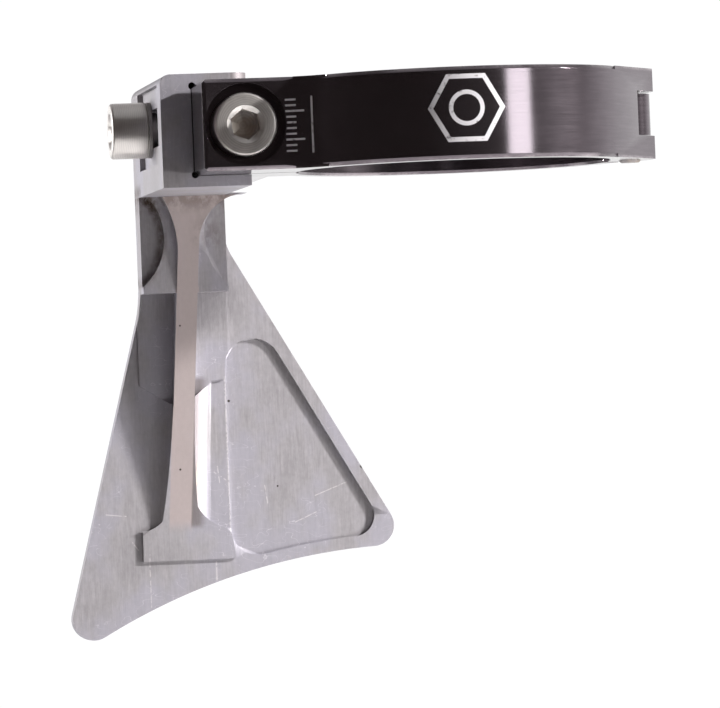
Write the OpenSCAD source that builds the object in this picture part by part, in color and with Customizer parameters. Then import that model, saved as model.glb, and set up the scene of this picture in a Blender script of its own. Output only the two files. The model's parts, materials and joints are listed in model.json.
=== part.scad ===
// Clamp-on single-ring chain guide in the place of a front derailleur.
// A hinged two-half band clamp carries a sideways rail, and a machined guide
// slides on the rail and hangs a plate beside the chain.
// Origin: centre of the clamp bore. +Z runs up the seat tube, +X points to the
// hinge, +Y points to the chain side.

/* [Clamp band] */
// Diameter of the seat tube that the band grips
tube_d = 34.9; // [31:0.1:38]
// Wall of the band
band_wall = 2.5; // [2:0.1:4]
// Height of the band along the tube
band_h = 10; // [9:0.5:14]
// Bevel along the band's edges
edge_bevel = 0.4; // [0.2:0.05:0.6]
// Gap between the two halves when tightened
split_gap = 0.6; // [0.3:0.1:1.2]

/* [Ears and rail] */
// Depth of the front ear, from the split to its face
ear_depth = 10; // [8.5:0.5:14]
// Ear past the outside of the band
ear_reach = 8.85; // [8.5:0.05:12]
// Radius that blends the ear's face into the band
ear_blend = 6; // [4:0.5:8]
// Length of the rail, from the split
rail_len = 23; // [21:0.5:30]
// Width of the rail
rail_w = 9.4; // [8.5:0.1:12]

/* [Hinge] */
// Diameter of the hinge pin
pin_d = 2.5; // [2:0.1:3]
// Radius of the hinge knuckles
knuckle_r = 2.45; // [2.2:0.05:3]
// Height of the middle knuckle
tongue_h = 4.6; // [4:0.1:5.4]
// Pin standing out of each end
pin_proud = 0.25; // [0.1:0.05:0.5]

/* [Bolts] */
// Thread size of both bolts
bolt_d = 4; // [3.5:0.5:4]
// Diameter of the clamp bolt's head
clamp_head_d = 7; // [6:0.1:7.4]
// Height of the clamp bolt's head
clamp_head_h = 4; // [3:0.1:5]
// Length of the clamp bolt below its head
clamp_bolt_len = 16; // [14:1:18]
// Clamp bolt's axis, in from the end of the ear
clamp_bolt_in = 4.7; // [4.7:0.1:5.5]
// Diameter of the counterbore in the ear
counterbore_d = 9; // [8.6:0.1:9.2]
// Diameter of the adjuster bolt's head
adjuster_head_d = 6.3; // [6:0.1:7.4]
// Height of the adjuster bolt's head
adjuster_head_h = 4.1; // [3:0.1:5]
// Length of the adjuster bolt below its head
adjuster_bolt_len = 11; // [9:0.5:12]
// Adjuster bolt's axis behind the split
adjuster_y = 17; // [15:0.5:18]
// Adjuster bolt and slot above the middle of the rail
adjuster_z = 0.95; // [0:0.05:1]
// Thickness of the washer below its head
washer_t = 0.5; // [0.4:0.1:0.8]
// Hexagon in both heads, across flats
hex_flats = 3; // [2.5:0.5:3]

/* [Guide block] */
// Left wall of the block, beside the rail
web_t = 3.4; // [3:0.1:5]
// Lips above and below the rail
lip_t = 1.2; // [1:0.1:2]
// Width of the lips, from the wall
lip_reach = 6.4; // [5:0.1:7]
// Depth of the block and of the whole guide
guide_depth = 30.7; // [29:0.1:36]
// Sliding gap around the rail
rail_clear = 0.05; // [0.03:0.01:0.1]
// Length of the adjusting slot, end to end
slot_len = 17; // [14:0.5:18]
// Height of the adjusting slot
slot_h = 4.3; // [4.2:0.1:5]
// Near end of the slot behind the block's front
slot_in = 5; // [4:0.5:6]
// Depth of the recess for the washer
recess_d = 0.6; // [0.3:0.1:1]
// Recess past the slot, all round
recess_past = 2.2; // [1.8:0.1:2.6]

/* [Arm] */
// Thickness of the upper arm
arm_t = 5.6; // [4:0.1:7]
// Height of the upper arm below the block
arm_h = 11; // [8:0.5:14]
// Thickness of the stiffening rib
rib_w = 2.4; // [1.8:0.1:3.5]
// Rib's top, to the right of the block's middle
rib_shift = 0.7; // [0:0.1:1]
// Rib in front of the guide's back face, at its top
rib_top = 6.9; // [6.4:0.1:9]
// The same at its foot
rib_foot = 2.55; // [2.55:0.05:4]
// Sideways lean of the rib over its height
rib_lean = 2.1; // [0:0.1:2.5]
// Radius of the rib's flares at its foot
rib_flare = 5; // [3:0.5:6]
// Radius of the fillets beside the rib's lower half
rib_fillet = 2.3; // [2:0.05:3]
// Pads above the plate's face
pad_t = 0.3; // [0.2:0.05:0.3]
// Foot of the middle pad below the bore's centre
mid_pad_z = 27.5; // [25:0.5:30]
// Top of the bottom pad below the bore's centre
foot_pad_z = 44.4; // [43:0.2:45]
// Height of the bottom pad
foot_pad_h = 3.4; // [2:0.1:4]

/* [Plate] */
// Thickness of the guide plate
plate_t = 2.2; // [1.8:0.1:3]
// Chainring's centre below the bore's centre
ring_drop = 118; // [116:0.5:120]
// Chainring's centre, forward of the bore's centre
ring_forward = 2.9; // [0:0.1:5]
// Radius of the plate's lower edge about that centre
ring_r = 71; // [69:0.5:73]
// Slope of the plate's front edge
front_slope = 14.6; // [12:0.1:17]
// Slope of the plate's rear edge
rear_slope = 29.6; // [27:0.1:32]
// Radius of the plate's lower corners
corner_r = 2.4; // [1.5:0.1:3.5]
// Depth of the triangular pocket
pocket_d = 0.35; // [0.2:0.05:1.4]
// Rim left around the pocket
pocket_rim = 1.35; // [1:0.05:3]

/* [Outer plate] */
// Gap for the chain between the two plates
chain_gap = 9; // [8:0.5:12]
// Thickness of the outer plate
outer_t = 2; // [1.5:0.1:3]
// How far the outer plate's edge lies inside the inner one's
outer_inset = 1.6; // [1.4:0.1:3]
// Diameter of the spacers
spacer_d = 7; // [6:0.5:7.4]
// Thread size of the plate screws
screw_d = 3; // [2.5:0.5:3]
// Head diameter of the plate screws
screw_head_d = 5.5; // [5:0.1:5.6]
// Head height of the plate screws
screw_head_h = 1.6; // [1.2:0.1:2]
// Length of the plate screws in the guide's pad
screw_bite = 1.8; // [1.5:0.1:1.8]

/* [Hidden] */
$fn = 96;
eps = 0.01;

running = 0.04;                                  // radial gap of a turning or threaded fit
knuckle_gap = 0.15;                              // gap between the knuckles' flat sides
bore_r = tube_d / 2;
band_r = bore_r + band_wall;
half_h = band_h / 2;
split = split_gap / 2;
ear_x = -band_r - ear_reach;                     // end of the ears and rail
pin_x = bore_r + knuckle_r;
lug_x = pin_x + knuckle_r;
clamp_x = ear_x + clamp_bolt_in;
ear_y = -ear_depth;                              // face of the front ear
counterbore_y = ear_y + clamp_head_h + 0.3;
clamp_hole_end = counterbore_y + clamp_bolt_len + 1;
rail_x = ear_x + rail_w;

web_in = ear_x - rail_clear;
web_x = web_in - web_t;                          // outside of the block's wall
lip_x = web_in + lip_reach;
block_half_h = half_h + rail_clear + lip_t;
block_y = split;
back_y = block_y + guide_depth;                  // flat back of the whole guide
slot_y0 = block_y + slot_in;
slot_y1 = slot_y0 + slot_len;
washer_x = web_x + recess_d;                     // floor of the recess
adjuster_head_x = washer_x - washer_t;
adjuster_hole_end = adjuster_head_x + adjuster_bolt_len + 0.8;

plate_y = back_y - plate_t;                      // face of the guide plate
pad_y = plate_y - pad_t;
arm_y = back_y - arm_t;
arm_z = -block_half_h - arm_h;
arm_right = lip_x;
scoop_d = 1.1;                                   // depth of the scoops in the upper arm
rib_x = (web_x + lip_x) / 2;
ring_c = [-ring_forward, -ring_drop];            // chainring's centre, seen from the side
outer_y = back_y + chain_gap;
screw_z = [-block_half_h - 5, -block_half_h - 15.5];
screw_len = chain_gap + outer_t + screw_bite;

black = [0.09, 0.08, 0.09];
raw = [0.68, 0.67, 0.69];
steel = [0.76, 0.76, 0.77];

// ---- outline helpers: points are [across, up] ----
function polar(c, r, a) = c + r * [cos(a), sin(a)];
function arc(c, r, a0, a1, n = 14) = [for (i = [0 : n]) polar(c, r, a0 + (a1 - a0) * i / n)];
function unit(v) = v / norm(v);
function angle_of(v) = atan2(v[1], v[0]);
function nearest(a, b) = b - a > 180 ? b - 360 : (b - a < -180 ? b + 360 : b);

// Points that round the corner b of the path a, b, c with radius r
function rounded(a, b, c, r, n = 12) =
    let (u = unit(a - b), w = unit(c - b),
         half = acos(u * w) / 2,
         mid = b + unit(u + w) * r / sin(half),
         p = b + u * r / tan(half),
         q = b + w * r / tan(half),
         a0 = angle_of(p - mid),
         a1 = nearest(a0, angle_of(q - mid)))
    arc(mid, r, a0, a1, n);

// Where the downward line through p along d comes to distance r from c
function landing(p, d, c, r) =
    let (u = unit(d), m = p - c, h = m * u)
    p + u * (-h - sqrt(h * h - m * m + r * r));

front_dir = [-sin(front_slope), -cos(front_slope)];
rear_dir = [sin(rear_slope), -cos(rear_slope)];
front_top = [web_x, arm_z - 1.2];                // where the sloped edges leave the arm
rear_top = [arm_right, -block_half_h - 5.4];

// Plate outline, held in from its true edge by inset
function plate_outline(inset = 0, top = -block_half_h) =
    let (front_n = [cos(front_slope), -sin(front_slope)],
         rear_n = [-cos(rear_slope), -sin(rear_slope)],
         fp = front_top + front_n * inset,
         rp = rear_top + rear_n * inset,
         low_r = ring_r + inset,
         fc = landing(fp + front_n * corner_r, front_dir, ring_c, low_r + corner_r),
         rc = landing(rp + rear_n * corner_r, rear_dir, ring_c, low_r + corner_r),
         left = web_x + inset,
         right = arm_right - inset,
         fk = [left, fp[1] + (left - fp[0]) * cos(front_slope) / sin(front_slope)],
         rk = [right, rp[1] - (right - rp[0]) * cos(rear_slope) / sin(rear_slope)])
    concat([[right, top], [left, top]],
           rounded([left, top], fk, fk + front_dir * 20, 18),
           arc(fc, corner_r, 180 - front_slope, angle_of(ring_c - fc) + 360),
           arc(ring_c, low_r, angle_of(fc - ring_c), angle_of(rc - ring_c), 32),
           arc(rc, corner_r, angle_of(ring_c - rc), rear_slope),
           rounded(rk + rear_dir * 20, rk, [right, top], 7));

// Triangular pocket: upright front edge, sloped rear edge, lower edge round the ring
pocket_x = arm_right - 0.5;
pocket_top_r = 3.3;
pocket_low_r = 3.2;
pocket_rear_r = 2.4;
function pocket_outline() =
    let (rear_n = [-cos(rear_slope), -sin(rear_slope)],
         rp = rear_top + rear_n * pocket_rim,
         apex = [pocket_x, rp[1] - (pocket_x - rp[0]) * cos(rear_slope) / sin(rear_slope)],
         low = ring_r + pocket_rim,
         fx = pocket_x + pocket_low_r,
         fc = [fx, ring_c[1] + sqrt(pow(low + pocket_low_r, 2) - pow(fx - ring_c[0], 2))],
         rc = landing(rp + rear_n * pocket_rear_r, rear_dir, ring_c, low + pocket_rear_r))
    concat(rounded(apex + rear_dir * 20, apex, apex - [0, 20], pocket_top_r),
           arc(fc, pocket_low_r, 180, angle_of(ring_c - fc) + 360),
           arc(ring_c, low, angle_of(fc - ring_c), angle_of(rc - ring_c), 24),
           arc(rc, pocket_rear_r, angle_of(ring_c - rc), rear_slope));

// Extrude an outline [x, z] from y0 to y1
module slab(points, y0, y1) {
    translate([0, y1, 0])
        rotate([90, 0, 0])
            linear_extrude(y1 - y0)
                polygon(points);
}

// Box between two corners
module box(a, b) {
    translate(a)
        cube(b - a);
}

// Cylinder along +Y from y0 to y1
module along_y(x, z, r, y0, y1) {
    translate([x, y0, z])
        rotate([-90, 0, 0])
            cylinder(r = r, h = y1 - y0);
}

// Cylinder along +X from x0 to x1
module along_x(y, z, r, x0, x1) {
    translate([x0, y, z])
        rotate([0, 90, 0])
            cylinder(r = r, h = x1 - x0);
}

// Square bar centred on an edge, which bevels it by edge_bevel
module bevel_bar(length) {
    side = edge_bevel * sqrt(2);
    rotate([45, 0, 0])
        cube([length, side, side], center = true);
}

// ---- clamp ----
module band_ring() {
    lead = 0.3;
    rotate_extrude($fn = 180)
        polygon([[bore_r, -half_h + lead], [bore_r + lead, -half_h], [band_r - edge_bevel, -half_h],
                 [band_r, -half_h + edge_bevel], [band_r, half_h - edge_bevel],
                 [band_r - edge_bevel, half_h], [bore_r + lead, half_h], [bore_r, half_h - lead]]);
}

// Flat from the band to the hinge lug's corner, drawn for the front half
tangent_a = -acos(band_r / norm([lug_x, knuckle_r])) - atan2(knuckle_r, lug_x);
module lug_outline() {
    polygon([polar([0, 0], band_r, tangent_a), [lug_x, -knuckle_r], [lug_x, 0],
             [bore_r - 1, 0], [bore_r - 1, -knuckle_r]]);
}

// Blend between the ear's face and the band, drawn for the front half; it runs a little into
// the band, so that the two surfaces cross
blend_span = band_r + ear_blend - 0.08;
blend_c = [-sqrt(pow(blend_span, 2) - pow(ear_depth + ear_blend, 2)), ear_y - ear_blend];
module ear_outline() {
    touch = blend_c * band_r / blend_span;
    difference() {
        union() {
            polygon([[ear_x, 0], [ear_x, ear_y], [blend_c[0], ear_y], [touch[0] + 1, ear_y],
                     [touch[0] + 1, 0]]);
            polygon([[blend_c[0], ear_y], touch - [0, 0.2], touch * 0.9, [blend_c[0], ear_y / 2]]);
        }
        translate(blend_c)
            circle(r = ear_blend);
    }
}

module ear_bevels() {
    straight = blend_c[0] - ear_x + 1.5;
    for (s = [-1, 1]) {
        translate([ear_x + straight / 2, ear_y, s * half_h])
            bevel_bar(straight + 2 * eps);
        translate([ear_x, ear_y / 2, s * half_h])
            rotate([0, 0, 90])
                bevel_bar(ear_depth + 1);
    }
    translate([ear_x, ear_y, 0])
        rotate([0, 90, 0])
            bevel_bar(band_h + 2);
}

module knuckle(r, z0, z1) {
    translate([pin_x, 0, z0])
        cylinder(r = r, h = z1 - z0);
}

module rear_clamp_half() {
    tongue = tongue_h / 2;
    corner = norm([knuckle_r, knuckle_r]) + knuckle_gap;
    color(black)
        difference() {
            union() {
                difference() {
                    union() {
                        band_ring();
                        box([ear_x, 0, -half_h], [rail_x, rail_len + split, half_h]);
                        box([rail_x - eps, 0, -half_h], [-bore_r + 1, band_r / 2, half_h]);
                    }
                    box([-60, -60, -60], [60, split, 60]);
                    for (s = [-1, 1])
                        translate([0, 0, s * (half_h + tongue) / 2])
                            translate([pin_x, 0, 0])
                                cylinder(r = corner, h = half_h - tongue + eps, center = true);
                    for (s = [-1, 1])
                        translate([ear_x, rail_len / 2, s * half_h])
                            rotate([0, 0, 90])
                                bevel_bar(rail_len + 2);
                }
                knuckle(knuckle_r, -tongue, tongue);
                // neck between the middle knuckle and the band
                box([bore_r - 1, 0, -tongue], [pin_x, knuckle_r + 1, tongue]);
            }
            translate([0, 0, -half_h - 1])
                cylinder(r = bore_r, h = band_h + 2, $fn = 180);
            translate([0, 0, -half_h - 1])
                translate([pin_x, 0, 0])
                    cylinder(r = pin_d / 2 + running, h = band_h + 2);
            along_y(clamp_x, 0, bolt_d / 2 + running, -1, clamp_hole_end);
            along_x(adjuster_y, adjuster_z, bolt_d / 2 + running, ear_x - 1, adjuster_hole_end);
        }
}

module front_clamp_half() {
    tongue = tongue_h / 2 + knuckle_gap;
    reach = 0.9;                                 // how far the bolt hole is drawn out
    shank = bolt_d / 2 + 0.2;
    color(black)
        difference() {
            union() {
                difference() {
                    union() {
                        band_ring();
                        translate([0, 0, -half_h])
                            linear_extrude(band_h)
                                union() {
                                    lug_outline();
                                    ear_outline();
                                }
                    }
                    box([-60, -split, -60], [60, 60, 60]);
                    translate([pin_x, 0, -tongue])
                        cylinder(r = knuckle_r + knuckle_gap, h = 2 * tongue);
                    box([pin_x, -60, -tongue], [60, 60, tongue]);
                }
                knuckle(knuckle_r, tongue, half_h);
                knuckle(knuckle_r, -half_h, -tongue);
                for (z = [tongue, -half_h])
                    box([pin_x, -knuckle_r, z], [lug_x, 0, z + half_h - tongue]);
            }
            translate([0, 0, -half_h - 1])
                cylinder(r = bore_r, h = band_h + 2, $fn = 180);
            translate([pin_x, 0, -half_h - 1])
                cylinder(r = pin_d / 2 + running, h = band_h + 2);
            along_y(clamp_x, 0, counterbore_d / 2, ear_y - 1, counterbore_y);
            for (x = [0, -reach])
                along_y(clamp_x + x, 0, shank, ear_y, 1);
            box([clamp_x - reach, ear_y, -shank], [clamp_x, 1, shank]);
            ear_bevels();
        }
}

module hinge_pin() {
    length = band_h + 2 * pin_proud;
    tip = pin_proud;
    color(steel)
        translate([pin_x, 0, 0])
            rotate_extrude()
                polygon([[0, -length / 2], [pin_d / 2 - tip, -length / 2], [pin_d / 2, -length / 2 + tip],
                         [pin_d / 2, length / 2 - tip], [pin_d / 2 - tip, length / 2], [0, length / 2]]);
}

// ---- bolts ----
// Socket screw whose head stands on z = 0 and whose thread runs down
module socket_screw(d, length, head_d, head_h, flats, depth) {
    rim = 0.35;
    difference() {
        rotate_extrude()
            polygon([[0, -length], [d / 2 - 0.4, -length], [d / 2, -length + 0.4], [d / 2, 0],
                     [head_d / 2, 0], [head_d / 2, head_h - rim], [head_d / 2 - rim, head_h],
                     [0, head_h]]);
        translate([0, 0, head_h - depth])
            cylinder(d = flats / cos(30), h = depth + 1, $fn = 6);
        // lead-in around the hexagon
        translate([0, 0, head_h])
            rotate_extrude()
                polygon([[0, -0.35], [flats / 2 / cos(30), -0.35], [flats / 2 / cos(30) + 0.4, 0.05],
                         [0, 0.05]]);
    }
}

module clamp_bolt() {
    color(steel)
        translate([clamp_x, counterbore_y, 0])
            rotate([90, 0, 0])
                rotate([0, 0, 10])
                    socket_screw(bolt_d, clamp_bolt_len, clamp_head_d, clamp_head_h, hex_flats, 2.2);
}

module adjuster_bolt() {
    color(steel)
        translate([adjuster_head_x, adjuster_y, adjuster_z])
            rotate([0, -90, 0])
                socket_screw(bolt_d, adjuster_bolt_len, adjuster_head_d, adjuster_head_h, hex_flats, 2.2);
}

module adjuster_washer() {
    color(steel)
        translate([adjuster_head_x, adjuster_y, adjuster_z])
            rotate([0, 90, 0])
                difference() {
                    cylinder(d = adjuster_head_d, h = washer_t);
                    translate([0, 0, -1])
                        cylinder(d = bolt_d + 0.3, h = washer_t + 2);
                }
}

// ---- guide ----
// Round-ended slot through the block's wall
module adjusting_slot(x0, x1) {
    r = slot_h / 2;
    y0 = slot_y0 + slot_h / 2;
    y1 = slot_y1 - slot_h / 2;
    along_x(y0, adjuster_z, r, x0, x1);
    along_x(y1, adjuster_z, r, x0, x1);
    box([x0, y0, adjuster_z - r], [x1, y1, adjuster_z + r]);
}

// Square-cornered recess around the slot for the washer
module washer_recess() {
    r = slot_h / 2 + recess_past;
    box([web_x - 1, slot_y0 - 1.6, adjuster_z - r], [washer_x, slot_y1 + 1.6, adjuster_z + r]);
}

module guide_block() {
    top_round = 1.1;
    far_round = 2.5;
    nose_r = 2.2;
    difference() {
        box([web_x, block_y, -block_half_h], [lip_x, back_y, block_half_h]);
        box([web_in, block_y - 1, -half_h - rail_clear], [lip_x + 1, back_y + 1, half_h + rail_clear]);
        // relief in the channel's inner corners
        for (s = [-1, 1])
            translate([web_in + 0.15, block_y - 1, s * (half_h + rail_clear - 0.15)])
                rotate([-90, 0, 0])
                    cylinder(r = 0.4, h = guide_depth + 2, $fn = 24);
        adjusting_slot(web_x - 1, web_in + 1);
        washer_recess();
        // rounded upper edge of the wall
        difference() {
            box([web_x - 1, block_y - 1, block_half_h - top_round],
                [web_x + top_round, back_y + 1, block_half_h + 1]);
            along_y(web_x + top_round, block_half_h - top_round, top_round, block_y - 1, back_y + 1);
        }
        // rounded far upper edge
        difference() {
            box([web_x - 1, back_y - far_round, block_half_h - far_round],
                [lip_x + 1, back_y + 1, block_half_h + 1]);
            along_x(back_y - far_round, block_half_h - far_round, far_round, web_x - 1, lip_x + 1);
        }
        // rounded front corner of the upper lip
        difference() {
            box([lip_x - nose_r, block_y - 1, half_h], [lip_x + 1, block_y + nose_r, block_half_h + 1]);
            translate([lip_x - nose_r, block_y + nose_r, half_h - 1])
                cylinder(r = nose_r, h = lip_t + 3);
        }
    }
}

// Rib outline [x, z] with flares at both ends
rib_top_z = -block_half_h;
rib_foot_z = -foot_pad_z;
rib_high = rib_top_z - rib_foot_z;
foot_left = web_x - 0.85;
function rib_mid(z) = rib_x + rib_shift - rib_lean * (rib_top_z - z) / rib_high;
function rib_outline() =
    let (flank = rib_w / 2, buried = 0.5,
         left_r = 12, left_z = rib_top_z - 6.2,
         right_r = 5.7, right_z = rib_top_z - 5.6,
         left_a = asin((rib_top_z + buried - left_z) / left_r),
         right_a = asin(min(1, (rib_top_z + buried - right_z) / right_r)),
         left_c = [rib_mid(left_z) - flank - left_r, left_z],
         right_c = [rib_mid(right_z) + flank + right_r, right_z],
         b = [rib_mid(rib_foot_z) - flank, rib_foot_z],
         c = [rib_mid(rib_foot_z) + flank, rib_foot_z],
         low = rib_foot_z - foot_pad_h)
    concat(arc(left_c, left_r, left_a, 0),
           rounded(left_c + [left_r, 0], b, b - [9, 0], rib_flare * 0.75),
           [[foot_left, rib_foot_z], [foot_left, low], [arm_right, low], [arm_right, rib_foot_z]],
           rounded(c + [9, 0], c, right_c - [right_r, 0], rib_flare),
           arc(right_c, right_r, 180, 180 - right_a));

// Concave fillet between the rib's flank and a floor at y, on one side, from z0 up to z1
module rib_side_fillet(side, r, y, z0, z1) {
    foot = rib_mid(z0) + side * rib_w / 2;
    head = rib_mid(z1) + side * rib_w / 2;
    tilt = atan2(head - foot, z1 - z0);
    translate([foot, y, z0])
        rotate([0, tilt, 0])
            difference() {
                box([min(0, side * r) - (side > 0 ? 0.5 : 0), -r, 0],
                    [max(0, side * r) + (side < 0 ? 0.5 : 0), 0.5, z1 - z0]);
                translate([side * r, -r, -1])
                    cylinder(r = r, h = z1 - z0 + 2);
            }
}

module rib() {
    fall = atan2(rib_top - rib_foot, rib_high);
    throat_r = 1.25;                             // fillet in the right-hand scoop
    throat_top = -block_half_h - 5.9;
    difference() {
        union() {
            slab(rib_outline(), back_y - rib_top, plate_y + 0.5);
            difference() {
                for (side = [-1, 1])
                    rib_side_fillet(side, rib_fillet, plate_y, rib_foot_z - 0.5, -mid_pad_z);
                slab(mid_pad_outline(), arm_y - 1, pad_y + 0.1);
            }
            rib_side_fillet(1, throat_r, arm_y + scoop_d, arm_z + 0.7, throat_top);
        }
        // sloping front face
        translate([rib_x, back_y - rib_top, rib_top_z])
            rotate([fall, 0, 0])
                translate([-20, -20, -60])
                    cube([40, 20, 60 + eps]);
    }
}

// Middle pad: its lower edge runs down to the rib on both sides
function mid_pad_outline() =
    let (out = 0.55, flank = rib_w / 2 - 0.3, left = web_x - out, low = -mid_pad_z - 0.2,
         left_low = low - 2.5, right_low = low - 1.7)
    [[arm_right, arm_z + eps], [web_x, arm_z + eps], front_top,
     [left, front_top[1] - out * cos(front_slope) / sin(front_slope)], [left, low],
     [rib_mid(left_low) - flank, left_low], [rib_mid(right_low) + flank, right_low],
     [arm_right - 2.2, low], [arm_right - 2.1, low + 0.4], [arm_right, low + 0.4]];

module arm_and_pads() {
    scoop_r = 7.3;
    scoop_out = 4.7;
    scoop_z = -block_half_h - 4.65;
    difference() {
        box([web_x, arm_y, arm_z], [arm_right, back_y, -block_half_h + eps]);
        // scoops on both sides of the rib
        for (x = [web_x - scoop_out, arm_right + scoop_out])
            along_y(x, scoop_z, scoop_r, arm_y - 1, arm_y + scoop_d);
    }
    slab(mid_pad_outline(), pad_y, back_y - 0.5);
    box([foot_left, pad_y, -foot_pad_z - foot_pad_h], [arm_right, back_y - 0.5, -foot_pad_z]);
}

module guide_body() {
    color(raw)
        difference() {
            union() {
                guide_block();
                slab(plate_outline(), plate_y, back_y);
                arm_and_pads();
                rib();
            }
            slab(pocket_outline(), plate_y - 1, plate_y + pocket_d);
            for (z = screw_z)
                along_y(rib_x, z, screw_d / 2 + running, back_y - screw_bite - 0.3, back_y + 1);
        }
}

// ---- outer side of the cage ----
module outer_plate() {
    color(raw)
        difference() {
            slab(plate_outline(outer_inset, -block_half_h - 1), outer_y, outer_y + outer_t);
            for (z = screw_z)
                along_y(rib_x, z, screw_d / 2 + 0.15, outer_y - 1, outer_y + outer_t + 1);
        }
}

module plate_spacers() {
    color(raw)
        for (z = screw_z)
            difference() {
                along_y(rib_x, z, spacer_d / 2, back_y, outer_y);
                along_y(rib_x, z, screw_d / 2 + 0.15, back_y - 1, outer_y + 1);
            }
}

module plate_screws() {
    color(steel)
        for (z = screw_z)
            translate([rib_x, outer_y + outer_t, z])
                rotate([-90, 0, 0])
                    socket_screw(screw_d, screw_len, screw_head_d, screw_head_h, 2, 1.1);
}

rear_clamp_half();
front_clamp_half();
hinge_pin();
clamp_bolt();
guide_body();
adjuster_bolt();
adjuster_washer();
outer_plate();
plate_spacers();
plate_screws();
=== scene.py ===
"""A clamp-on chain guide: black anodised band clamp, machined aluminium guide and
socket screws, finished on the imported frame. Units are metres inside the scene, and
millimetres where a value or a function says so."""

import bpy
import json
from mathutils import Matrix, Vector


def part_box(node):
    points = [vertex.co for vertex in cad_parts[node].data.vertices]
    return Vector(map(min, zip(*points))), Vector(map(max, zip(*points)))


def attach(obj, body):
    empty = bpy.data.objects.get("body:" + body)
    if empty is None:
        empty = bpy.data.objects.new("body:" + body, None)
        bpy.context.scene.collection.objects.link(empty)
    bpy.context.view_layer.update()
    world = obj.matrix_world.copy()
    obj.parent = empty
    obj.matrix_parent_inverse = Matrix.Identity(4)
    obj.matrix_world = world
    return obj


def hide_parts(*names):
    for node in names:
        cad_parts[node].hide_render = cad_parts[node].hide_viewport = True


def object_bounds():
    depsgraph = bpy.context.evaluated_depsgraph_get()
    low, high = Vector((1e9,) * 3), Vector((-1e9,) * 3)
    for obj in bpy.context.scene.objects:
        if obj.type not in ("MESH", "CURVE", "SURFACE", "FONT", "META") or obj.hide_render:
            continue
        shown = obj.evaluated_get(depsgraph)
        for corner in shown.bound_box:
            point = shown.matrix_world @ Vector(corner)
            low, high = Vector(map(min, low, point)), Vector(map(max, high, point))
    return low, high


bl_info = {
    "name": "Chain guide finish",
    "version": (1, 0, 0),
    "blender": (4, 5, 0),
    "location": "View3D > Sidebar > Chain guide",
    "description": "Finishes the parts of a clamp-on chain guide and sets its stage",
    "category": "Object",
}

import json
import math

import bmesh
import bpy
import numpy as np
from mathutils import Matrix, Vector

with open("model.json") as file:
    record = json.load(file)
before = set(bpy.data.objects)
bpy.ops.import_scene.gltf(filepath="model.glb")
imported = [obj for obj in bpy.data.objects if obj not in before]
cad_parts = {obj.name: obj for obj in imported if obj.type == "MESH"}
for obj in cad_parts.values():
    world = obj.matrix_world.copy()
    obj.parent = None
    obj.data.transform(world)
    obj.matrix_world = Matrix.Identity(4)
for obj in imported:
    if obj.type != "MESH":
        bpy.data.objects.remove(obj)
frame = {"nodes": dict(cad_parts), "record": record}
CAD_BOX = [list(corner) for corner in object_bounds()]

MM = 0.001
BODIES = frame["record"]["behaviour"]["bodies"]
BODY_OF = {node: body for body, nodes in BODIES.items() for node in nodes}
M4_RADIUS, M3_RADIUS = 2.0 * MM, 1.5 * MM
M4_SOCKET, M3_SOCKET = 2.2 * MM, 1.1 * MM  # depths of the hexagons
HEAD_H = {"clamp_bolt": 4.0 * MM, "adjuster_bolt": 4.1 * MM, "plate_screws": 1.6 * MM}
BLOCK_FOOT, FOOT_PAD = -6.25, -44.4  # heights of the block's foot and the bottom pad's top, in millimetres


# ---- sizes and colours a user would change ----
class AnodisedSettings(bpy.types.PropertyGroup):
    colour: bpy.props.FloatVectorProperty(
        name="Anodised colour", description="Reflected colour of the black film",
        subtype="COLOR", size=3, min=0, max=1, default=(0.155, 0.135, 0.150))
    mark_colour: bpy.props.FloatVectorProperty(
        name="Mark colour", description="Colour of the etched marks",
        subtype="COLOR", size=3, min=0, max=1, default=(0.80, 0.79, 0.82))
    mark_size: bpy.props.FloatProperty(
        name="Mark size", description="Half height of the hexagon etched on the band",
        subtype="DISTANCE", default=3.7 * MM)
    tick_step: bpy.props.FloatProperty(
        name="Tick step", description="Distance between the ticks on the ear",
        subtype="DISTANCE", default=0.62 * MM)


class AluminiumSettings(bpy.types.PropertyGroup):
    colour: bpy.props.FloatVectorProperty(
        name="Aluminium colour", description="Colour of the bare milled metal",
        subtype="COLOR", size=3, min=0, max=1, default=(0.430, 0.415, 0.435))
    # painted reflection: colour of the rib's tilted face, tinted warmer than the bare metal to stand in for
    # what that face reflects
    rib_reflection_colour: bpy.props.FloatVectorProperty(
        name="Rib colour", description="Colour of the rib's milled face",
        subtype="COLOR", size=3, min=0, max=1, default=(0.470, 0.410, 0.405))
    # colour of the painted shade round the scoops and under the block, mixed with their dirt
    shade_and_grime_colour: bpy.props.FloatVectorProperty(
        name="Grime colour", description="Colour of the dried dirt in the corners",
        subtype="COLOR", size=3, min=0, max=1, default=(0.110, 0.078, 0.055))
    edge_round: bpy.props.FloatProperty(
        name="Edge break", description="Width of the broken edges",
        subtype="DISTANCE", default=0.12 * MM)


class HardwareSettings(bpy.types.PropertyGroup):
    steel_colour: bpy.props.FloatVectorProperty(
        name="Screw colour", description="Colour of the turned stainless steel",
        subtype="COLOR", size=3, min=0, max=1, default=(0.800, 0.775, 0.745))
    pin_colour: bpy.props.FloatVectorProperty(
        name="Pin colour", description="Colour of the ground hinge pin",
        subtype="COLOR", size=3, min=0, max=1, default=(0.300, 0.280, 0.280))
    pitch: bpy.props.FloatProperty(
        name="Thread pitch", description="Pitch of the M4 thread",
        subtype="DISTANCE", default=0.7 * MM)
    fine_pitch: bpy.props.FloatProperty(
        name="Fine thread pitch", description="Pitch of the M3 thread",
        subtype="DISTANCE", default=0.5 * MM)
    hexagon: bpy.props.FloatProperty(
        name="Hexagon", description="Width across flats of the M4 screws' sockets",
        subtype="DISTANCE", default=3 * MM)


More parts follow.
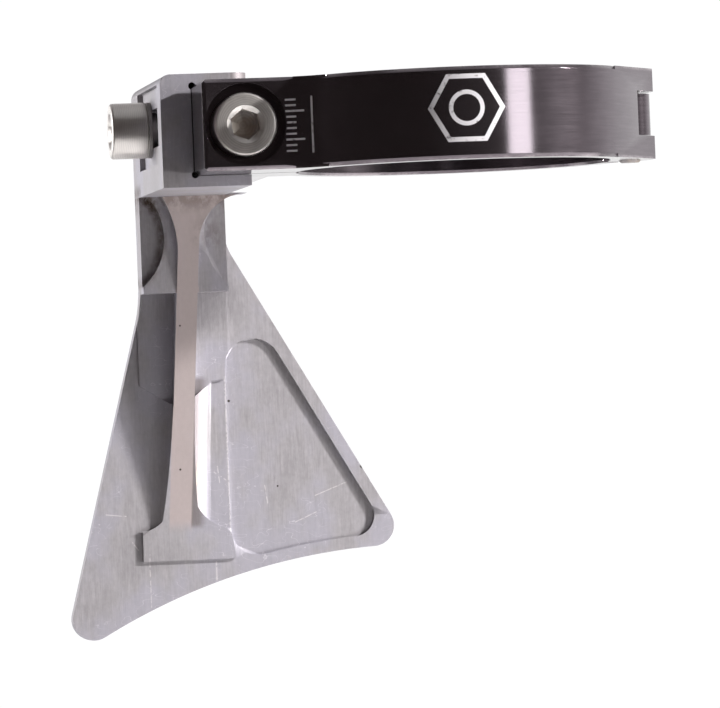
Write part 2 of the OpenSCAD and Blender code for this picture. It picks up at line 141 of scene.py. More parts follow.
class StageSettings(bpy.types.PropertyGroup):
    floor_drop: bpy.props.FloatProperty(
        name="Floor drop", description="Floor below the lowest point of the object",
        subtype="DISTANCE", default=0.10)
    floor_radius: bpy.props.FloatProperty(
        name="Floor radius", description="Radius of the round floor",
        subtype="DISTANCE", default=0.22)
    key_power: bpy.props.FloatProperty(
        name="Key light", description="Power of the raking light on the right", subtype="POWER",
        default=16.5)
    strip_power: bpy.props.FloatProperty(
        name="Strip light", description="Power of the wide light in front", subtype="POWER",
        default=0.21)
    side_power: bpy.props.FloatProperty(
        name="Side light", description="Power of the soft light on the left", subtype="POWER",
        default=1.8)
    low_power: bpy.props.FloatProperty(
        name="Low light", description="Power of the low light on the right", subtype="POWER",
        default=5.0)
    fill_power: bpy.props.FloatProperty(
        name="Fill light", description="Power of the large soft light above", subtype="POWER",
        default=0.5)


# ---- shader maths ----
class Val:
    """A number that varies over a surface. Arithmetic on it adds Math nodes."""

    def __init__(self, finish, socket):
        self.finish = finish
        self.socket = socket

    def math(self, operation, *others, first=None):
        terms = [self, *others] if first is None else [first, self]
        node = self.finish.node("ShaderNodeMath", {"operation": operation}, dict(enumerate(terms)))
        return Val(self.finish, node.outputs[0])

    def __add__(self, other):
        return self.math("ADD", other)

    def __sub__(self, other):
        return self.math("SUBTRACT", other)

    def __rsub__(self, other):
        return self.math("SUBTRACT", first=other)

    def __mul__(self, other):
        return self.math("MULTIPLY", other)

    def __abs__(self):
        return self.math("ABSOLUTE")

    __radd__ = __add__
    __rmul__ = __mul__

    def at_least(self, other):
        return self.math("MAXIMUM", other)

    def at_most(self, other):
        return self.math("MINIMUM", other)

    def root(self):
        return self.math("SQRT")

    def step(self, low, high):
        """0 below low, 1 above high, and a smooth step between them; falls instead where low > high."""
        falling = low > high
        node = self.finish.node(
            "ShaderNodeMapRange", {"interpolation_type": "SMOOTHSTEP", "clamp": True},
            {"Value": self, "From Min": min(low, high), "From Max": max(low, high),
             "To Min": float(falling), "To Max": float(not falling)})
        return Val(self.finish, node.outputs["Result"])


class Finish:
    """One procedural material, whose patterns are laid out in millimetres on Object coordinates.
    Given a world, it is that world's nodes instead, laid out on the direction looked in."""

    def __init__(self, name, world=None):
        self.material = world or bpy.data.materials.new(name)
        self.material.use_nodes = True
        self.tree = self.material.node_tree
        self.tree.nodes.clear()
        place = self.node("ShaderNodeTexCoord").outputs["Generated" if world else "Object"]
        scaled = self.node("ShaderNodeVectorMath", {"operation": "SCALE"},
                           {0: place, "Scale": 1.0 if world else 1 / MM})
        self.place = scaled.outputs[0]
        axes = self.node("ShaderNodeSeparateXYZ", {}, {0: self.place})
        self.x, self.y, self.z = (Val(self, axes.outputs[i]) for i in range(3))

    def node(self, kind, settings=None, values=None):
        """Adds a node: its settings first, then the values or links of its sockets."""
        made = self.tree.nodes.new(kind)
        for key, setting in (settings or {}).items():
            if key == "stops":
                ramp = made.color_ramp
                while len(ramp.elements) < len(setting):
                    ramp.elements.new(1.0)
                for element, (position, colour) in zip(ramp.elements, setting):
                    element.position = position
                    element.color = (*colour, 1.0)
            else:
                setattr(made, key, setting)
        for key, value in (values or {}).items():
            socket = made.inputs[key]
            value = value.socket if isinstance(value, Val) else value
            if isinstance(value, bpy.types.NodeSocket):
                self.tree.links.new(value, socket)
            elif hasattr(socket.default_value, "__len__"):
                value = tuple(value)
                wanted = len(socket.default_value)
                socket.default_value = value + (1.0,) * (wanted - len(value))
            else:
                socket.default_value = value
        return made

    def noise(self, stretch, detail=3.0, roughness=0.55, shift=(0.0, 0.0, 0.0), turn=(0.0, 0.0, 0.0)):
        """Noise from 0 to 1 whose features per millimetre along each axis are stretch."""
        mapped = self.node("ShaderNodeMapping", {}, {
            "Vector": self.place, "Location": shift, "Rotation": turn, "Scale": stretch})
        made = self.node("ShaderNodeTexNoise", {}, {
            "Vector": mapped.outputs[0], "Scale": 1.0, "Detail": detail, "Roughness": roughness})
        return Val(self, made.outputs["Fac"])

    def mix(self, amount, low, high):
        """Colour low where amount is 0 and colour high where it is 1."""
        node = self.node("ShaderNodeMix", {"data_type": "RGBA", "clamp_factor": True},
                         {0: amount, 6: low, 7: high})
        return node.outputs[2]

    def segment(self, start, end, width):
        """1 on the straight line between two [x, z] points, 0 beyond width from it.
        The distance is taken to the nearest point of the line, found by clamping the projection."""
        along = (end[0] - start[0], end[1] - start[1])
        size = along[0] ** 2 + along[1] ** 2
        dx, dz = self.x - start[0], self.z - start[1]
        share = (dx * (along[0] / size) + dz * (along[1] / size)).at_least(0.0).at_most(1.0)
        off_x, off_z = dx - share * along[0], dz - share * along[1]
        return (off_x * off_x + off_z * off_z).root().step(width, width * 0.35)

    def spot(self, centre, radius, soft=0.5):
        """1 inside a round spot about an [x, z] point, fading over soft of its radius."""
        dx, dz = self.x - centre[0], self.z - centre[1]
        return (dx * dx + dz * dz).root().step(radius, radius * (1 - soft))

    def finish(self, colour, metallic, roughness, height, strength=0.3, distance=0.02 * MM, **constants):
        """Joins colour, roughness and height to the shader. Constants are set on its own sockets."""
        bump = self.node("ShaderNodeBump", {}, {
            "Height": height, "Strength": strength, "Distance": distance})
        shader = self.node("ShaderNodeBsdfPrincipled", {}, {
            "Base Color": colour, "Roughness": roughness, "Metallic": metallic,
            "Normal": bump.outputs[0]})
        for name, value in constants.items():
            shader.inputs[name.replace("_", " ").title()].default_value = value
        self.node("ShaderNodeOutputMaterial", {}, {"Surface": shader.outputs[0]})
        return self.material


# ---- finishes ----
def machined_aluminium(settings, guide):
    """Bare milled aluminium: upright grain, cloudy patches and thin scratch marks. On the guide it adds
    painted shade with dirt in the scoops of the upper arm and under the block, a painted warm reflection on
    the rib face, painted shade on the lip's corner and the rib's right fillet, and painted highlights along
    edges. guide says whether the guide's own marks are on it."""
    f = Finish("machined_aluminium_guide" if guide else "machined_aluminium")
    grain = f.noise((5.5, 5.5, 0.45), detail=5.0, roughness=0.65)
    mottle = f.noise((2.2, 2.2, 1.5), detail=4.0, roughness=0.6, shift=(3, 1, 7))
    cloud = f.noise((0.16, 0.16, 0.11), detail=3.0, shift=(11, 4, 2))
    colour = tuple(settings.colour)
    bright = tuple(min(1.0, c * 1.22) for c in colour)
    dull = tuple(c * 0.80 for c in colour)
    base = f.mix((grain * 0.45 + mottle * 0.30 + cloud * 0.45 - 0.08).step(0.25, 0.8), dull, bright)
    cool = f.mix(cloud.step(0.42, 0.62) * 0.5, base, (colour[0] * 0.96, colour[1] * 0.98, colour[2] * 1.12))
    scuffs = (f.noise((0.5, 0.5, 0.9), detail=1.0, shift=(5, 9, 1), turn=(0.2, 0.5, 0.1)) - 0.5)
    scuff = abs(scuffs).step(0.006, 0.001) * cloud.step(0.5, 0.6) * 0.45
    base = f.mix(scuff, cool, (0.80, 0.79, 0.82))
    dirt = f.noise((0.9, 0.9, 0.6), detail=4.0, roughness=0.7, shift=(2, 2, 2))
    roughness = (0.40 + 0.16 * grain + 0.10 * cloud) - 0.12 * scuff
    if guide:
        low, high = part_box("guide_body")
        left, back = low[0] / MM, high[1] / MM
        # warm tint on the rib's face: painted reflection, standing in for the warmer light its tilted face
        # reflects; the rib leans left and falls back from its top to its foot
        rib_top_x, rib_lean, rib_top, rib_fall = -26.65, 0.055, 6.9, 0.114
        below = BLOCK_FOOT - f.z
        middle = f.x - (rib_top_x - rib_lean * below)
        face_y = below * rib_fall + (back - rib_top)
        rib = abs(f.y - face_y).step(0.16, 0.08) * (f.z - FOOT_PAD).step(-0.5, 1.5)
        rib = rib * (f.z - BLOCK_FOOT).step(0.0, -0.1)
        rib = rib * (abs(middle).step(1.4, 1.25) + (f.z + 14.5).step(-0.5, 0.5)).at_most(1.0)
        base = f.mix(rib, base, f.mix(mottle, tuple(settings.rib_reflection_colour),
                                      tuple(c * 1.15 for c in settings.rib_reflection_colour)))
        # painted shade: the rounded corner of the upper lip is darkened so the raking light does not
        # overexpose it
        lip_corner_shade = (f.y - 2.7).step(0.2, 0.0) * (f.x + 24.7).step(0.0, 0.5) * (f.z - 4.9).step(0.0, 0.1)
        base = f.mix(lip_corner_shade, base, (0.19, 0.175, 0.18))
        # painted shade: the fillet on the rib's right is darkened so the raking light does not overexpose
        # it, and streaked where the cutter ran down it
        streak = f.noise((6.0, 6.0, 0.25), detail=4.0, roughness=0.7, shift=(8, 3, 3))
        fillet = (middle - 1.1).step(0.0, 0.2) * (middle - 2.9).step(0.2, -1.0)
        fillet = fillet * (f.y - (back - 4.6)).step(0.0, 0.2)
        fillet_top, fillet_foot = -27.0, -44.0
        fillet = fillet * (f.z - fillet_top).step(0.4, -0.4) * (f.z - fillet_foot).step(-0.4, 0.4)
        base = f.mix(fillet * (0.55 + 0.45 * streak), base, (0.20, 0.175, 0.175))
        # painted shade with brown dirt: darker brown round the scoops' rims and under the block, where shade
        # falls
        scoop_x, scoop_z, scoop_r = f.x + 37.0, f.z + 10.9, 7.1
        rim = abs((scoop_x * scoop_x + scoop_z * scoop_z).root() - scoop_r).step(0.9, 0.0)
        face = (f.y - (back - 7.2)).step(0.0, 0.3)
        scoop_rim_shade = rim * face * (f.z + 17.0).step(0.0, 0.8)
        under = (f.z - BLOCK_FOOT + 1.5).step(-1.2, 1.2) * (f.z - BLOCK_FOOT).step(0.1, -0.1) * face
        right_scoop_shade = f.spot((-24.6, -10.6), 3.0, 0.9) * face
        shade_and_grime = (scoop_rim_shade * 0.8 + under * 0.7 + right_scoop_shade * 0.5) * dirt.step(0.32, 0.62)
        base = f.mix(shade_and_grime * 0.75, base, tuple(settings.shade_and_grime_colour))
        # stain running down from the recess in the block's left wall, and a beige one low beside the rib
        wall = (f.x - (left + 7.5)).step(0.0, -0.4)
        drop = (f.z + 3.4).step(0.2, -0.2) * (abs(f.y - 17.0) - (f.z + 8.6) * 0.55).step(0.3, -0.6)
        base = f.mix(wall * drop * dirt.step(0.2, 0.7) * 0.5, base, (0.28, 0.20, 0.14))
        beige = f.spot((-26.4, -38.6), 2.6, 0.9) * abs(f.x + 26.45).step(0.5, 0.1) * dirt.step(0.35, 0.6)
        base = f.mix(beige * 0.7, base, (0.52, 0.42, 0.28))
        # painted highlights along the pocket's border and the cutter's step edges, and real scratch marks
        # across the plate
        edge_glints = f.segment((-22.95, -27.0), (-22.95, -45.0), 0.16)
        edge_glints = edge_glints + f.segment((-32.4, -47.0), (-32.4, -53.0), 0.10)
        edge_glints = edge_glints + f.segment((-24.75, -47.8), (-24.75, -50.2), 0.14)
        lines = [((-18.79, -39.57), (-18.52, -41.64)), ((-24.61, -37.84), (-23.26, -38.81)),
                 ((-37.2, -42.24), (-34.93, -42.51)), ((-15.4, -43.96), (-12.5, -42.7)),
                 ((-24.2, -37.2), (-24.0, -39.1)), ((-34.4, -45.4), (-33.6, -46.5)),
                 ((-27.4, -25.1), (-27.1, -26.2)), ((-13.0, -41.0), (-9.3, -39.6))]
        scratches_and_glints = edge_glints * 0.4
        for start, end in lines:
            scratches_and_glints = scratches_and_glints + f.segment(start, end, 0.085) * 0.5
        broken = f.noise((2.4, 2.4, 2.4), detail=2.0, shift=(1, 8, 3)).step(0.36, 0.55)
        scratches_and_glints = (scratches_and_glints * broken * (f.y - (back - 4.5)).step(0.0, 0.3)).at_most(1.0)
        base = f.mix(scratches_and_glints, base, (0.86, 0.84, 0.83))
        specks = f.spot((-22.55, -29.78), 0.2) + f.spot((-17.29, -39.74), 0.14) + f.spot((-7.5, -37.85), 0.3)
        specks = specks + f.spot((-28.2, -21.0), 0.14) + f.spot((-28.6, -37.4), 0.16)
        base = f.mix((specks * face).at_most(1.0), base, (0.06, 0.05, 0.045))
        roughness = roughness + 0.20 * shade_and_grime - 0.10 * scratches_and_glints
    height = 0.6 * grain + 0.4 * mottle - 0.5 * scuff
    return f.finish(base, 0.62, roughness, height, strength=0.32, distance=0.03 * MM)


def black_anodised(settings, marked):
    """Black anodised aluminium: satin film with faint turned grain round the band, paler in patches on the
    chamfered edges, which is painted highlight where they catch light and partly wear of the film. The front
    half also carries an etched hexagon and a row of ticks."""
    f = Finish("black_anodised_marked" if marked else "black_anodised")
    turned = f.noise((0.25, 0.25, 7.0), detail=3.0, roughness=0.6)
    speckle = f.noise((3.5, 3.5, 3.5), detail=5.0, roughness=0.7, shift=(4, 4, 4))
    cloud = f.noise((0.22, 0.22, 0.25), detail=2.0, shift=(9, 2, 5))
    colour = tuple(settings.colour)
    base = f.mix((0.6 * turned + 0.4 * cloud).step(0.3, 0.7), tuple(c * 0.88 for c in colour),
                 tuple(c * 1.12 for c in colour))
    # painted highlight: the band's chamfered top and bottom edges are paled in patches, standing in for the
    # light the chamfers catch and for wear of the film
    edge = abs(f.z).step(4.62, 4.95)
    chamfer_glint_and_wear = edge * (0.5 * speckle + 0.5 * cloud).step(0.42, 0.60)
    base = f.mix(chamfer_glint_and_wear * 0.55, base, (0.50, 0.46, 0.48))
    dust = speckle.step(0.66, 0.74) * cloud.step(0.45, 0.6)
    base = f.mix(dust * 0.35, base, (0.42, 0.40, 0.41))
    roughness = 0.09 + 0.05 * turned + 0.05 * cloud + 0.25 * dust
    height = 0.7 * turned + 0.3 * speckle
    if marked:
        size = settings.mark_size / MM
        # distance round the band from the middle of the mark, which is left of the front
        band_r, mark_left = 19.95, 1.35
        round_band = f.x.math("ARCTAN2", 0.0 - f.y) * band_r + mark_left
        up = abs(f.z - 0.5)
        hexagon = (abs(round_band) * math.cos(math.radians(30)) + up * 0.5).at_least(up)
        ring = abs(hexagon - (size - 0.3)).step(0.30, 0.22)
        disc = (round_band * round_band + up * up).root()
        nut = abs(disc - size * 0.46).step(0.28, 0.20)
        on_band = (f.y + 17.0).step(0.0, -0.5)
        mark = (ring + nut).at_most(1.0) * on_band
        worn = f.noise((1.6, 1.6, 1.6), detail=4.0, roughness=0.7).step(0.30, 0.42)
        step = settings.tick_step / MM
        ladder = (f.z + 3.4) * (1 / step)
        tick = abs(ladder.math("FRACT") - 0.5).step(0.22, 0.14)
        fifth = abs((ladder * 0.2).math("FRACT") - 0.5).step(0.11, 0.08)
        column = abs(f.x + 19.2).step(0.62, 0.54) + abs(f.x + 18.2).step(0.46, 0.40) * fifth
        rail = abs(f.x + 17.0).step(0.14, 0.07)
        face = (f.y + 9.3).step(0.0, -0.3) * abs(f.z + 0.3).step(3.15, 3.05)
        ticks = ((tick * column).at_most(1.0) + rail) * face
        base = f.mix(mark * worn, base, tuple(settings.mark_colour))
        base = f.mix((ticks * worn).at_most(1.0) * 0.85, base, tuple(settings.mark_colour))
        roughness = roughness + 0.25 * mark
        metallic = 0.92 - 0.75 * (mark + ticks).at_most(1.0) * worn
    else:
        metallic = 0.92
    return f.finish(base, metallic, roughness, height, strength=0.12, distance=0.02 * MM)


def turned_steel(name, colour, centre, axis):
    """Turned steel: fine rings about the screw's own axis, a warm tint in the socket and small spots.
    The rings follow the distance from the axis on end faces, and the place along it on the sides."""
    f = Finish(name)
    a, b = [value for i, value in enumerate((f.x, f.y, f.z)) if i != axis]
    ca, cb = [c for i, c in enumerate(centre) if i != axis]
    radius = ((a - ca) * (a - ca) + (b - cb) * (b - cb)).root()
    wobble = f.noise((0.8, 0.8, 0.8), detail=2.0)
    along = (f.x, f.y, f.z)[axis]
    rings = ((radius * 26.0 + along * 31.0 + wobble * 9.0).math("SINE") + 1.0) * 0.5
    speckle = f.noise((4.0, 4.0, 4.0), detail=4.0, roughness=0.7, shift=(6, 6, 6))
    cloud = f.noise((0.5, 0.5, 0.5), detail=2.0, shift=(1, 5, 5))
    base = f.mix((0.22 * rings + 0.60 * cloud).step(0.15, 0.75), tuple(c * 0.84 for c in colour),
                 tuple(min(1.0, c * 1.14) for c in colour))
    warm = radius.step(1.75, 1.35) * cloud.step(0.35, 0.65)
    base = f.mix(warm * 0.45, base, (0.50, 0.38, 0.25))
    spots = speckle.step(0.68, 0.76)
    base = f.mix(spots * 0.4, base, (0.24, 0.20, 0.17))
    roughness = 0.28 + 0.05 * rings + 0.10 * cloud + 0.15 * spots
    return f.finish(base, 0.85, roughness, 0.4 * rings + 0.6 * speckle, strength=0.06, distance=0.02 * MM)


def pale_floor():
    """Matt white floor with the slightest unevenness."""
    f = Finish("pale_floor")
    cloud = f.noise((0.004, 0.004, 0.004), detail=2.0)
    base = f.mix(cloud, (0.70, 0.70, 0.71), (0.74, 0.74, 0.74))
    return f.finish(base, 0.0, 0.6 + 0.1 * cloud, cloud, strength=0.02)


# ---- piece building ----
def finished_copy(node, material, edge=0.0, segments=2):
    """A merged copy of a CAD node with its flat faces joined and its edges broken by a bevel."""
    source = frame["nodes"][node]
    mesh = source.data.copy()
    mesh.name = node + "_finished"
    work = bmesh.new()
    work.from_mesh(mesh)
    bmesh.ops.remove_doubles(work, verts=work.verts, dist=2e-7)
    bmesh.ops.dissolve_limit(work, angle_limit=math.radians(0.4), verts=work.verts, edges=work.edges)
    bmesh.ops.connect_verts_concave(work, faces=work.faces)
    work.to_mesh(mesh)
    work.free()
    piece = bpy.data.objects.new(node + "_finished", mesh)
    bpy.context.scene.collection.objects.link(piece)
    mesh.materials.clear()
    mesh.materials.append(material)
    mesh.polygons.foreach_set("use_smooth", np.ones(len(mesh.polygons), dtype=bool))
    mesh.polygons.foreach_set("material_index", np.zeros(len(mesh.polygons), dtype=np.int32))
    mesh.set_sharp_from_angle(angle=math.radians(28))
    if edge:
        bevel = piece.modifiers.new("broken_edges", "BEVEL")
        bevel.width = edge
        bevel.segments = segments
        bevel.limit_method = "ANGLE"
        bevel.angle_limit = math.radians(34)
        bevel.use_clamp_overlap = True
    even = piece.modifiers.new("even_flats", "WEIGHTED_NORMAL")
    even.keep_sharp = True
    even.mode = "FACE_AREA"
    even.weight = 100
    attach(piece, BODY_OF[node])
    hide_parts(node)
    return piece


def grid_piece(name, points, material):
    """A closed surface from an array of rows of points: rows run along the first index, and each row
    closes on itself. Rows of coinciding points become a pole when they are merged."""
    rows, columns = points.shape[:2]
    index = np.arange(rows * columns).reshape(rows, columns)
    after = np.roll(index, -1, axis=1)
    faces = np.stack([index[:-1], after[:-1], after[1:], index[1:]], axis=-1).reshape(-1, 4)
    mesh = bpy.data.meshes.new(name)
    mesh.from_pydata(points.reshape(-1, 3), [], faces)
    work = bmesh.new()
    work.from_mesh(mesh)
    bmesh.ops.remove_doubles(work, verts=work.verts, dist=1e-7)
    bmesh.ops.recalc_face_normals(work, faces=work.faces)
    work.to_mesh(mesh)
    work.free()
    mesh.polygons.foreach_set("use_smooth", np.ones(len(mesh.polygons), dtype=bool))
    mesh.set_sharp_from_angle(angle=math.radians(32))
    mesh.materials.append(material)
    piece = bpy.data.objects.new(name, mesh)
    bpy.context.scene.collection.objects.link(piece)
    return piece


def screw_points(length, shank_r, head_r, head_h, flats, socket, pitch, turns_from, columns=96):
    """Socket screw along +Z with the head's seat on z = 0, in metres.

    The profile is a list of rows from the tip to the bottom of the socket. On threaded rows the
    radius is the shank's less a triangular wave of height 0.54 pitch that climbs one pitch a turn,
    faded at both ends. In the socket the radius is that of a hexagon: half the flats over the
    cosine of the angle to the nearest flat's middle."""
    angle = np.linspace(0, 2 * np.pi, columns, endpoint=False)
    corner = flats / 2 / math.cos(math.radians(30))
    hexagon = flats / 2 / np.cos((angle + np.pi / 6) % (np.pi / 3) - np.pi / 6)
    rim = 0.11 * head_r
    tip = 0.4 * MM
    thread_z = np.arange(-length + tip, turns_from, pitch / 12)
    low = [(0, -length), (shank_r - tip - 0.05 * MM, -length), (shank_r - tip, -length + 0.04 * MM)]
    lead = [(shank_r, z) for z in thread_z]
    fillet = 0.18 * MM
    bend = np.linspace(0, np.pi / 2, 6)
    outer = [(head_r - rim + rim * math.sin(a), head_h - rim + rim * math.cos(a)) for a in bend[::-1]]
    head = [(shank_r, -fillet), (shank_r, 0), (head_r - 0.12 * MM, 0), (head_r, 0.12 * MM)] + outer
    mouth = [(corner + 0.34 * MM, head_h), (corner + 0.30 * MM, head_h - 0.03 * MM)]
    profile = np.array(low + lead + head + mouth)
    radius = np.repeat(profile[:, :1], columns, axis=1)
    height = np.repeat(profile[:, 1:], columns, axis=1)
    first, last = len(low), len(low) + len(lead)
    phase = (height[first:last] / pitch - angle / (2 * np.pi)) % 1.0
    wave = np.abs(2 * phase - 1)
    fade = np.clip((turns_from - height[first:last]) / pitch, 0, 1)
    bite = np.clip((height[first:last] + length) / (1.6 * tip), 0.55, 1)
    radius[first:last] = shank_r * bite - 0.54 * pitch * wave * fade * 0.8
    depth = head_h - socket
    wall = [(hexagon, head_h - 0.32 * MM), (hexagon, depth), (hexagon * 0.9, depth - 0.02 * MM),
            (hexagon * 0.0, depth - 0.35 * MM)]
    radius = np.vstack([radius] + [r[None] for r, _ in wall])
    height = np.vstack([height] + [np.full((1, columns), z) for _, z in wall])
    return np.stack([radius * np.cos(angle), radius * np.sin(angle), height], axis=-1)


def placed(points, seat, away, spin=0.0):
    """Points turned so that +Z becomes away, with spin about it first, and moved to seat."""
    turn = Vector(away).to_track_quat("Z", "Y").to_matrix() @ Matrix.Rotation(spin, 3, "Z")
    return points @ np.array(turn).T + np.array(seat)


def threaded_screw(node, name, points, material):
    """A screw with a helical thread in place of a CAD node, whose shank is plain."""
    piece = grid_piece(name, points, material)
    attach(piece, BODY_OF[node])
    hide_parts(node)
    return piece


# ---- operators, one for each piece or group of like pieces ----
class GUIDE_OT_clamp_halves(bpy.types.Operator):
    """Finish both halves of the band clamp in black anodising"""

    bl_idname = "chain_guide.clamp_halves"
    bl_label = "Clamp halves"

    def execute(self, context):
        settings = context.scene.guide_anodised
        for node in ("rear_clamp_half", "front_clamp_half"):
            material = black_anodised(settings, marked=node == "front_clamp_half")
            finished_copy(node, material, edge=0.09 * MM)
        return {"FINISHED"}


class GUIDE_OT_hinge_pin(bpy.types.Operator):
    """Finish the hinge pin in ground steel"""

    bl_idname = "chain_guide.hinge_pin"
    bl_label = "Hinge pin"

    def execute(self, context):
        low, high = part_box("hinge_pin")
        centre = [(a + b) / 2 / MM for a, b in zip(low, high)]
        colour = tuple(context.scene.guide_hardware.pin_colour)
        material = turned_steel("ground_pin", colour, centre, axis=2)
        finished_copy("hinge_pin", material, edge=0.05 * MM)
        return {"FINISHED"}


class GUIDE_OT_clamp_screws(bpy.types.Operator):
    """Make the clamp bolt and the adjuster bolt with their threads, and finish the washer"""

    bl_idname = "chain_guide.clamp_screws"
    bl_label = "Clamp and adjuster bolts"

    def execute(self, context):
        settings = context.scene.guide_hardware
        colour = tuple(settings.steel_colour)
        # each bolt: the way its head looks, the axis that lies along, and its hexagon's turn in degrees
        bolts = (("clamp_bolt", (0, -1, 0), 1, 10), ("adjuster_bolt", (-1, 0, 0), 0, 14))
        for node, away, axis, spin in bolts:
            low, high = (np.array(corner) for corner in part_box(node))
            head_h, size = HEAD_H[node], high - low
            seat = (low + high) / 2
            seat[axis] = low[axis] + head_h
            material = turned_steel(node + "_steel", colour, seat / MM, axis)
            points = screw_points(size[axis] - head_h, M4_RADIUS, size[1 - axis] / 2, head_h,
                                  settings.hexagon, M4_SOCKET, settings.pitch, -1.0 * MM)
            points = placed(points, seat, away, math.radians(spin))
            threaded_screw(node, node + "_threaded", points, material)
        # the washer lies at the last bolt's seat
        washer = turned_steel("washer_steel", tuple(c * 0.7 for c in colour), seat / MM, axis=0)
        finished_copy("adjuster_washer", washer, edge=0.06 * MM)
        return {"FINISHED"}


class GUIDE_OT_guide_body(bpy.types.Operator):
    """Finish the machined guide: block, arm, rib, pads and plate"""

    bl_idname = "chain_guide.guide_body"
    bl_label = "Guide body"

    def execute(self, context):
        settings = context.scene.guide_aluminium
        material = machined_aluminium(settings, guide=True)
        finished_copy("guide_body", material, edge=settings.edge_round)
        return {"FINISHED"}


class GUIDE_OT_outer_side(bpy.types.Operator):
    """Finish the outer plate and its spacers, and make the plate screws with their threads"""

    bl_idname = "chain_guide.outer_side"
    bl_label = "Outer plate, spacers and screws"

    def execute(self, context):
        settings = context.scene.guide_aluminium
        hardware = context.scene.guide_hardware
        material = machined_aluminium(settings, guide=False)
        finished_copy("outer_plate", material, edge=settings.edge_round * 1.4)
        finished_copy("plate_spacers", material, edge=0.10 * MM)
        low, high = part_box("plate_screws")
        head_h, head_r = HEAD_H["plate_screws"], (high[0] - low[0]) / 2
        x, seat_y = (low[0] + high[0]) / 2, high[1] - head_h
        points = screw_points(high[1] - low[1] - head_h, M3_RADIUS, head_r, head_h, 2.0 * MM, M3_SOCKET,
                              hardware.fine_pitch, -9.0 * MM, columns=60)
        seats = {"plate_screw_upper": (x, seat_y, high[2] - head_r),
                 "plate_screw_lower": (x, seat_y, low[2] + head_r)}
        middle = [c / MM for c in seats["plate_screw_upper"]]
        steel = turned_steel("plate_screw_steel", tuple(hardware.steel_colour), middle, axis=1)
        for name, seat in seats.items():
            threaded_screw("plate_screws", name, placed(points, seat, (0, 1, 0)), steel)
        return {"FINISHED"}


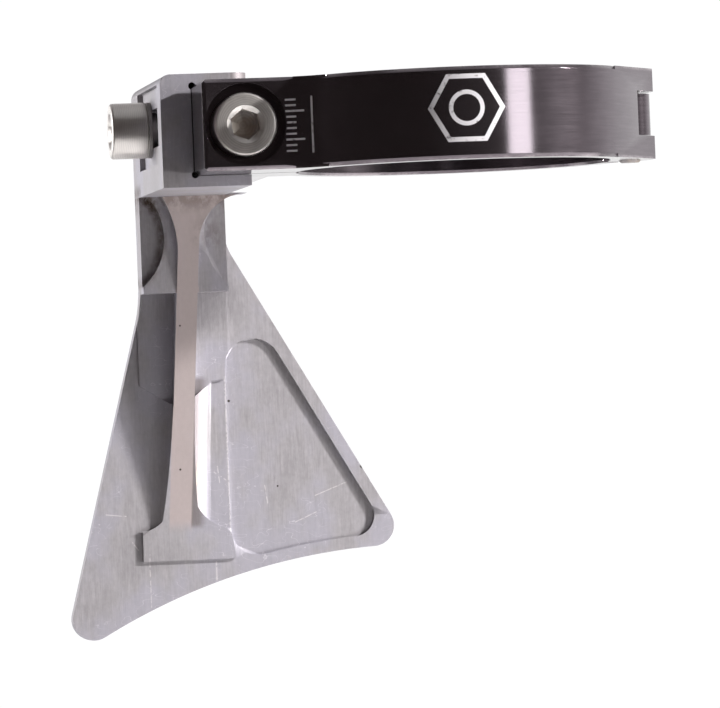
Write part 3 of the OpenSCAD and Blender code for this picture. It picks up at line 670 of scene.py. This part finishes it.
class GUIDE_OT_stage(bpy.types.Operator):
    """Make the pale floor, the backdrop, the lights and the camera"""

    bl_idname = "chain_guide.stage"
    bl_label = "Stage"

    def execute(self, context):
        settings = context.scene.guide_stage
        low, high = (Vector(corner) for corner in CAD_BOX)
        centre = (low + high) / 2
        # round floor: rings of points about the centre, from the middle out
        angle = np.linspace(0, 2 * np.pi, 96, endpoint=False)
        ring = np.linspace(0, settings.floor_radius, 9)[:, None]
        top = np.stack([centre[0] + ring * np.cos(angle), centre[1] + ring * np.sin(angle),
                        np.full((len(ring), len(angle)), low[2] - settings.floor_drop)], axis=-1)
        under = top[::-1] - np.array([0, 0, 0.004])
        floor = grid_piece("floor", np.concatenate([top, under]), pale_floor())
        self.backdrop(centre)
        self.light("raking_key", centre, azimuth=72.5, elevation=24, reach=0.75, size=(0.05, 0.05),
                   power=settings.key_power, colour=(1.0, 0.97, 0.96))
        self.light("front_strip", Vector((0, 0, 0)), azimuth=34.5, elevation=2.5, reach=0.6,
                   size=(0.16, 0.055), power=settings.strip_power, colour=(1.0, 1.0, 1.0))
        self.light("low_key", centre, azimuth=70, elevation=-9, reach=0.75, size=(0.10, 0.10),
                   power=settings.low_power, colour=(1.0, 0.97, 0.95))
        self.light("side_fill", centre, azimuth=-126, elevation=5, reach=0.6, size=(0.3, 0.3),
                   power=settings.side_power, colour=(1.0, 0.99, 0.99))
        self.light("overhead_fill", centre, azimuth=10, elevation=80, reach=0.8, size=(0.7, 0.7),
                   power=settings.fill_power, colour=(0.97, 0.98, 1.0))
        self.sky(context.scene)
        self.camera(context.scene)
        context.scene.view_settings.view_transform = "Standard"
        return {"FINISHED"}

    def backdrop(self, centre):
        """White shell round everything, which shows behind the object and neither lights nor shades it.
        Its points lie at one distance from the centre, by height angle and bearing."""
        bearing = np.linspace(0, 2 * np.pi, 64, endpoint=False)
        rise = np.linspace(-np.pi / 2, np.pi / 2, 33)[:, None]
        points = 3.0 * np.stack([np.cos(rise) * np.cos(bearing), np.cos(rise) * np.sin(bearing),
                                 np.sin(rise) * np.ones(len(bearing))], axis=-1) + np.array(centre)
        f = Finish("white_backdrop")
        cloud = f.noise((0.0005, 0.0005, 0.0005), detail=1.0)
        glow = f.node("ShaderNodeEmission", {}, {"Color": f.mix(cloud, (1.0, 1.0, 1.0), (0.99, 0.99, 1.0)),
                                                 "Strength": 1.03})
        f.node("ShaderNodeOutputMaterial", {}, {"Surface": glow.outputs[0]})
        shell = grid_piece("backdrop", points, f.material)
        for ray in ("diffuse", "glossy", "transmission", "volume_scatter", "shadow"):
            setattr(shell, "visible_" + ray, False)

    def light(self, name, target, azimuth, elevation, reach, size, power, colour):
        """A rectangular light that faces target from that bearing, in degrees right of the front, and
        height angle, reach metres away."""
        a, e = math.radians(azimuth), math.radians(elevation)
        away = Vector((math.sin(a) * math.cos(e), -math.cos(a) * math.cos(e), math.sin(e)))
        data = bpy.data.lights.new(name, "AREA")
        data.shape = "RECTANGLE"
        data.size, data.size_y = size
        data.energy = power
        data.color = colour
        lamp = bpy.data.objects.new(name, data)
        lamp.location = target + away * reach
        lamp.rotation_mode = "QUATERNION"
        lamp.rotation_quaternion = away.to_track_quat("Z", "Y")
        lamp.visible_camera = False
        bpy.context.scene.collection.objects.link(lamp)

    def sky(self, scene):
        """Soft surround: white behind the object and to its right, dim in front, on its left, above
        and below. The brightness follows the direction's share along one bearing, less its slope."""
        stops = ((0.0, (0.045, 0.036, 0.034)), (0.29, (0.06, 0.050, 0.048)), (0.52, (0.42, 0.40, 0.41)),
                 (0.70, (0.30, 0.28, 0.29)), (0.88, (1.0, 1.0, 1.0)))
        scene.world = bpy.data.worlds.new("soft_surround")
        f = Finish("soft_surround", scene.world)
        share = (f.x * 0.5 + f.y * 0.866 - abs(f.z) * 0.45 + 1.0) * 0.5
        ramp = f.node("ShaderNodeValToRGB", {"stops": stops}, {"Fac": share})
        glow = f.node("ShaderNodeBackground", {}, {"Color": ramp.outputs["Color"], "Strength": 1.06})
        f.node("ShaderNodeOutputWorld", {}, {"Surface": glow.outputs[0]})

    def camera(self, scene):
        """Long lens from slightly left of front, almost level, and rolled by a few degrees."""
        azimuth, elevation, roll = (math.radians(v) for v in (-8.0, -0.7, 2.3))
        reach, aside, above = 713.99 * MM, -11.126 * MM, -25.311 * MM
        ahead = Vector((-math.sin(azimuth) * math.cos(elevation), math.cos(azimuth) * math.cos(elevation),
                        -math.sin(elevation)))
        across = Vector((math.cos(azimuth), math.sin(azimuth), 0))
        upright = across.cross(ahead)
        data = bpy.data.cameras.new("front_camera")
        data.sensor_width = 36.0
        data.lens = 322.44
        data.clip_start, data.clip_end = 0.01, 20.0
        camera = bpy.data.objects.new("front_camera", data)
        right = across * math.cos(roll) - upright * math.sin(roll)
        up = across * math.sin(roll) + upright * math.cos(roll)
        turn = Matrix((right, up, -ahead)).transposed()
        place = across * aside + upright * above - ahead * reach
        camera.matrix_world = Matrix.Translation(place) @ turn.to_4x4()
        scene.collection.objects.link(camera)
        scene.camera = camera


PIECES = (GUIDE_OT_clamp_halves, GUIDE_OT_hinge_pin, GUIDE_OT_clamp_screws, GUIDE_OT_guide_body,
          GUIDE_OT_outer_side, GUIDE_OT_stage)


class GUIDE_PT_panel(bpy.types.Panel):
    """Chain guide pieces and their settings"""

    bl_idname = "GUIDE_PT_panel"
    bl_label = "Chain guide"
    bl_space_type = "VIEW_3D"
    bl_region_type = "UI"
    bl_category = "Chain guide"

    def draw(self, context):
        for piece in PIECES:
            self.layout.operator(piece.bl_idname)
        for name in SETTINGS:
            group = getattr(context.scene, name)
            for field in group.__annotations__:
                self.layout.prop(group, field)


SETTINGS = {"guide_anodised": AnodisedSettings, "guide_aluminium": AluminiumSettings,
            "guide_hardware": HardwareSettings, "guide_stage": StageSettings}


def register():
    for group in SETTINGS.values():
        bpy.utils.register_class(group)
    for name, group in SETTINGS.items():
        setattr(bpy.types.Scene, name, bpy.props.PointerProperty(type=group))
    for entry in (*PIECES, GUIDE_PT_panel):
        bpy.utils.register_class(entry)


def unregister():
    for entry in reversed((*PIECES, GUIDE_PT_panel)):
        bpy.utils.unregister_class(entry)
    for name in SETTINGS:
        delattr(bpy.types.Scene, name)
    for group in reversed(SETTINGS.values()):
        bpy.utils.unregister_class(group)


def main():
    """Makes every piece and the stage."""
    register()
    bpy.ops.chain_guide.clamp_halves()
    bpy.ops.chain_guide.hinge_pin()
    bpy.ops.chain_guide.clamp_screws()
    bpy.ops.chain_guide.guide_body()
    bpy.ops.chain_guide.outer_side()
    bpy.ops.chain_guide.stage()


if __name__ == "__main__":
    main()
